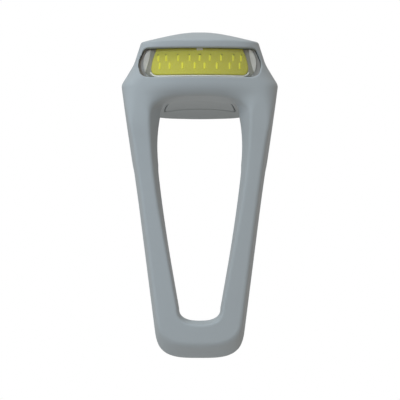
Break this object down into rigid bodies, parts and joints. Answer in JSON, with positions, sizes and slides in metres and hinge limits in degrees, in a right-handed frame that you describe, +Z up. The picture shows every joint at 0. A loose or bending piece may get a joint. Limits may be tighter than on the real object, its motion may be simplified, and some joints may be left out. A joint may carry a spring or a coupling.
{
  "type": "bicycle headlight",
  "caption": "Small one-piece silicone front light that straps round a handlebar, with a recessed curved lens and a push-button top.",
  "frame": {"origin": "on the axis of the handlebar that the saddle seats on, at the middle of the light", "axes": "+Z up from the bar to the head, -Y forward, the way the light shines, +X along the handlebar"},
  "size_m": [0.0366, 0.0333, 0.0772],
  "materials": {
    "silicone": "matte moulded silicone",
    "clear_lens": "clear, polished",
    "phosphor": "yellow phosphor silicone",
    "die": "light-emitting die",
    "white_plastic": "white moulded",
    "dark_plastic": "black moulded, fine texture",
    "bright_metal": "bright nickel",
    "steel": "plain steel",
    "board_white": "white solder mask",
    "board_green": "green solder mask",
    "chip_black": "black epoxy",
    "ferrite": "grey ferrite and copper",
    "ceramic": "ceramic with tinned ends",
    "pouch": "foil pouch",
    "foam": "soft foam",
    "wire": "insulated wire",
    "pad_blue": "heat-conducting pad"
  },
  "bodies": {
    "root": {"silicone_skin": "silicone", "lens": "clear_lens", "lens_seal": "dark_plastic", "end_reflectors": "bright_metal", "led_phosphor": "phosphor", "led_dies": "die", "led_dam": "white_plastic", "indicator_led": "white_plastic", "led_board": "board_white", "thermal_pad": "pad_blue", "case_lower": "dark_plastic", "case_upper": "dark_plastic", "case_screws": "steel", "main_board": "board_green", "board_chips": "chip_black", "power_inductor": "ferrite", "board_capacitors": "ceramic", "battery_cell": "pouch", "battery_pad": "foam", "battery_leads": "wire", "led_leads": "wire", "usb_shell": "bright_metal", "usb_tongue": "dark_plastic", "tact_switch": "steel"},
    "strap_1": {"strap_link_1": "silicone"},
    "strap_2": {"strap_link_2": "silicone"},
    "strap_3": {"strap_link_3": "silicone"},
    "strap_end": {"strap_end_loop": "silicone"},
    "button": {"button_dome": "silicone"},
    "stem": {"switch_stem": "white_plastic"},
    "flap": {"port_flap": "silicone"}
  },
  "joints": [
    {"name": "strap_bend_1", "type": "hinge", "parent": "root", "child": "strap_1", "pos_m": [0, -0.0163, -0.0017], "axis": [1, 0, 0], "range_deg": [0, 43], "stiffness_Nm_per_rad": 0.004},
    {"name": "strap_bend_2", "type": "hinge", "parent": "strap_1", "child": "strap_2", "pos_m": [0, -0.0163, -0.0117], "axis": [1, 0, 0], "range_deg": [0, 43], "stiffness_Nm_per_rad": 0.004},
    {"name": "strap_bend_3", "type": "hinge", "parent": "strap_2", "child": "strap_3", "pos_m": [0, -0.0163, -0.0217], "axis": [1, 0, 0], "range_deg": [0, 43], "stiffness_Nm_per_rad": 0.004},
    {"name": "strap_bend_4", "type": "hinge", "parent": "strap_3", "child": "strap_end", "pos_m": [0, -0.0163, -0.0317], "axis": [1, 0, 0], "range_deg": [0, 43], "stiffness_Nm_per_rad": 0.004},
    {"name": "button_press", "type": "slide", "parent": "root", "child": "button", "axis": [0, 0, -1], "range_m": [0, 0.0005], "stiffness_N_per_m": 200},
    {"name": "stem_press", "type": "slide", "parent": "root", "child": "stem", "axis": [0, 0, -1], "range_m": [0, 0.0005], "stiffness_N_per_m": 20},
    {"name": "flap_open", "type": "hinge", "parent": "root", "child": "flap", "pos_m": [0, -0.0017, 0.0159], "axis": [-1, 0, 0], "range_deg": [0, 100], "stiffness_Nm_per_rad": 0.002}
  ],
  "couplings": [
    {"joint": "strap_bend_2", "follows": "strap_bend_1", "ratio": 1},
    {"joint": "strap_bend_3", "follows": "strap_bend_1", "ratio": 1},
    {"joint": "strap_bend_4", "follows": "strap_bend_1", "ratio": 1},
    {"joint": "stem_press", "follows": "button_press", "ratio": 1}
  ]
}
